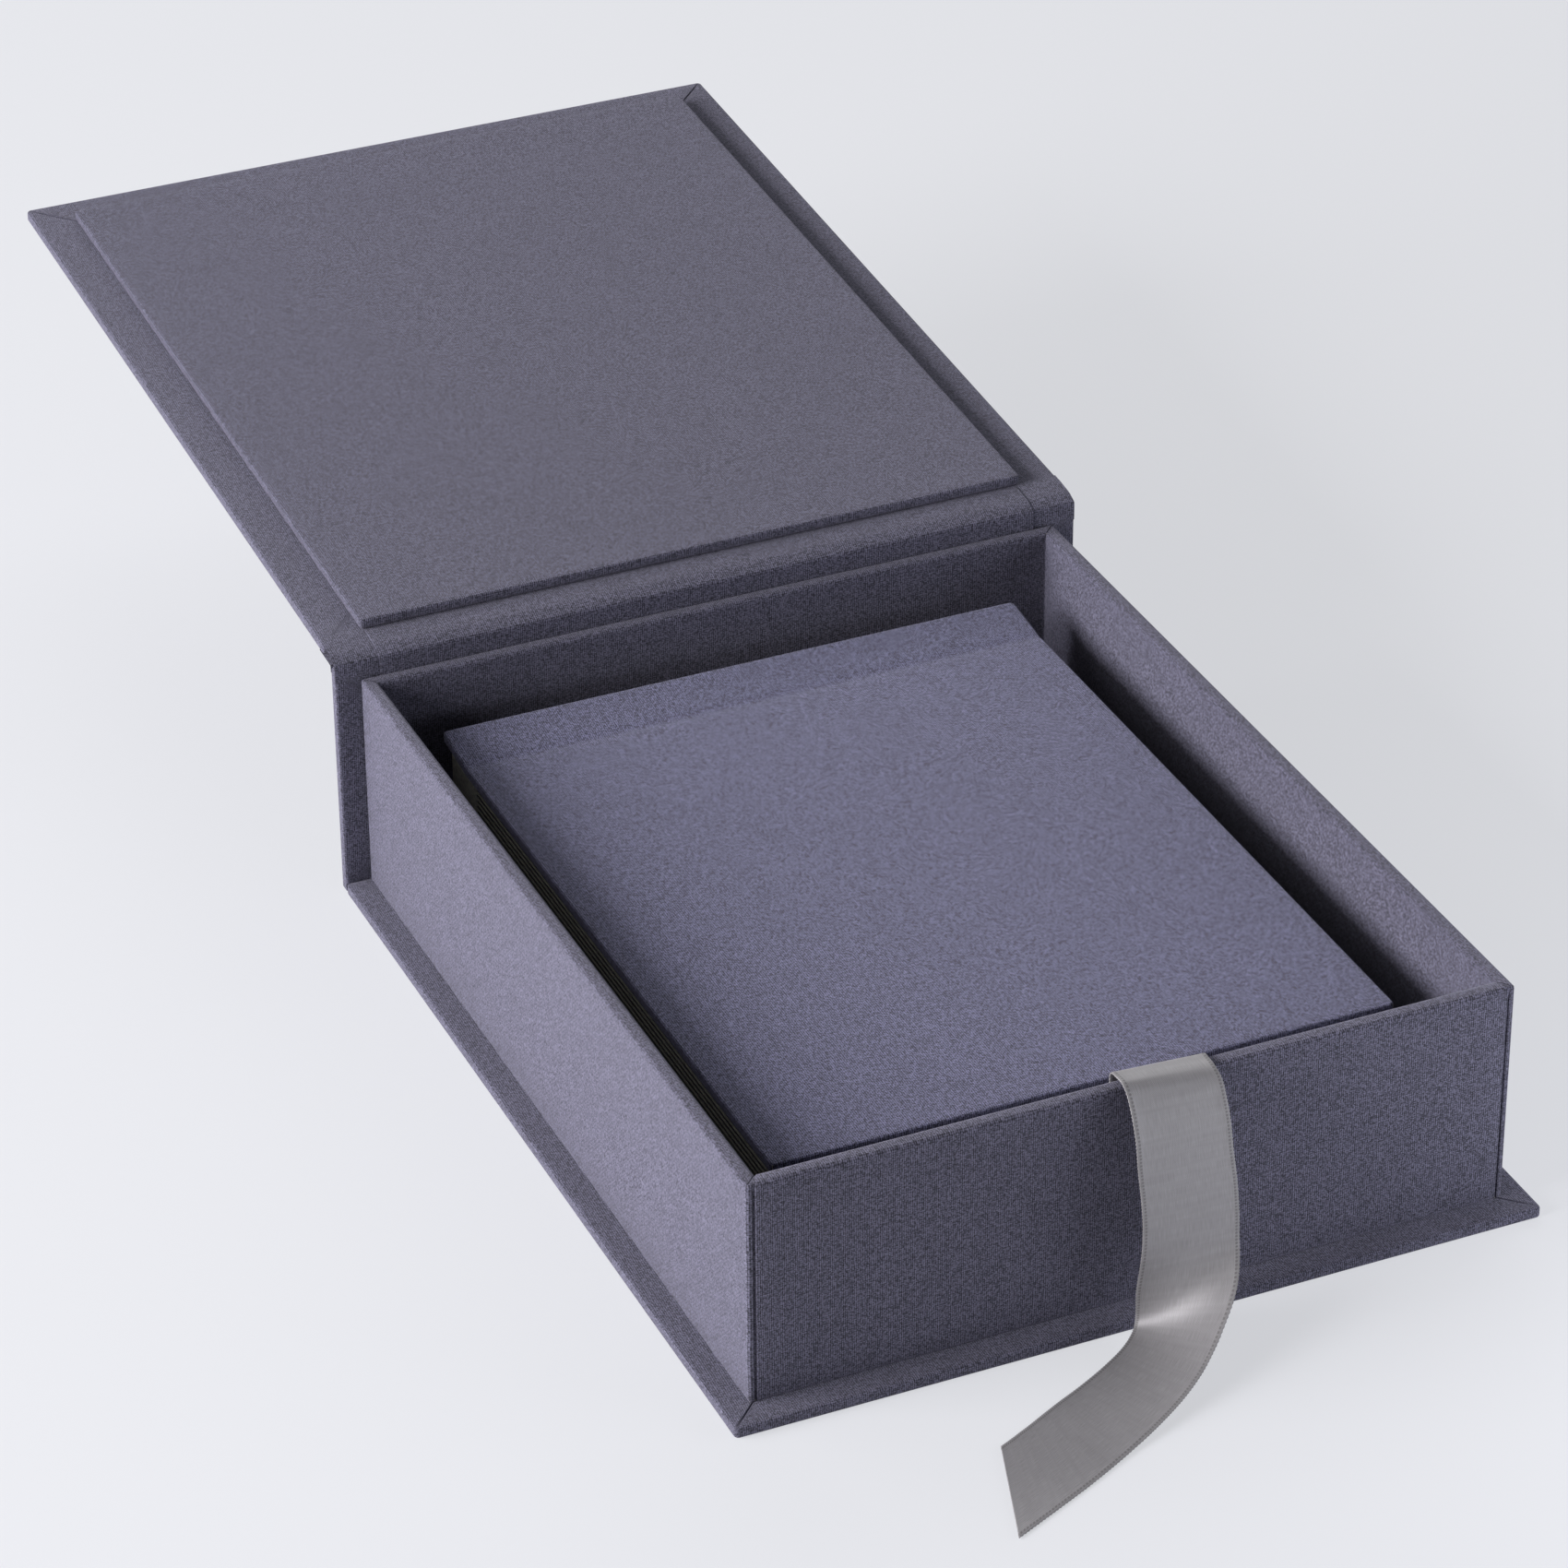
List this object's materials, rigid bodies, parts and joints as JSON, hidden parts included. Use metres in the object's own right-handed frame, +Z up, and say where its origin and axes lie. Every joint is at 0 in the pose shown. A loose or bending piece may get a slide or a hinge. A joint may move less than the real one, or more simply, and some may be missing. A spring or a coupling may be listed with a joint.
{
  "type": "clamshell presentation box with album",
  "caption": "Cloth-covered clamshell presentation box standing open, with a hinged lid, a raised inner panel, a lift ribbon over the front wall and a matching album in its tray.",
  "frame": {"origin": "centre of the footprint of the base and spine, on the surface that the box stands on", "axes": "+X to the right as seen from the front, +Y to the spine and the open lid, +Z up"},
  "size_m": [0.2178, 0.5851, 0.0911],
  "materials": {
    "book_cloth": "fine woven slate-violet book cloth, matt",
    "satin_ribbon": "warm grey double-faced satin with picot edges",
    "grey_board": "dense grey binder's board",
    "black_card": "uncoated black album card",
    "post_metal": "satin"
  },
  "bodies": {
    "root": {"base_board": "grey_board", "base_cloth": "book_cloth", "hinge_cloth": "book_cloth", "hinge_lining": "book_cloth", "lift_ribbon": "satin_ribbon", "spine_board": "grey_board", "spine_cloth": "book_cloth", "tray_back_board": "grey_board", "tray_floor_board": "grey_board", "tray_floor_lining": "book_cloth", "tray_front_board": "grey_board", "tray_front_cloth": "book_cloth", "tray_left_board": "grey_board", "tray_right_board": "grey_board", "tray_wall_cloth": "book_cloth"},
    "lid": {"lid_board": "grey_board", "lid_cloth": "book_cloth", "lid_panel_board": "grey_board", "lid_panel_cloth": "book_cloth"},
    "album": {"album_back_board": "grey_board", "album_back_cloth": "book_cloth", "album_back_pastedown": "black_card", "album_back_strip": "grey_board", "album_front_board": "grey_board", "album_front_cloth": "book_cloth", "album_front_pastedown": "black_card", "album_front_strip": "grey_board", "album_leaf_01": "black_card", "album_leaf_02": "black_card", "album_leaf_03": "black_card", "album_leaf_04": "black_card", "album_leaf_05": "black_card", "album_leaf_06": "black_card", "album_leaf_07": "black_card", "album_leaf_08": "black_card", "album_leaf_09": "black_card", "album_leaf_10": "black_card", "album_leaf_11": "black_card", "album_leaf_12": "black_card", "album_leaf_13": "black_card", "album_leaf_14": "black_card", "album_leaf_15": "black_card", "album_leaf_16": "black_card", "album_leaf_17": "black_card", "album_leaf_18": "black_card", "album_leaf_19": "black_card", "album_leaf_20": "black_card", "album_leaf_21": "black_card", "album_leaf_22": "black_card", "album_leaf_23": "black_card", "album_leaf_24": "black_card", "album_post_left": "post_metal", "album_post_right": "post_metal"}
  },
  "joints": [
    {"name": "lid_hinge", "type": "hinge", "parent": "root", "child": "lid", "pos_m": [0, 0.1312, 0.0694], "axis": [1, 0, 0], "range_deg": [0, 176.5], "deforming": ["hinge_cloth", "hinge_lining", "lift_ribbon"]},
    {"name": "album_lift", "type": "slide", "parent": "root", "child": "album", "axis": [0, 0, 1], "range_m": [0, 0.008]}
  ]
}
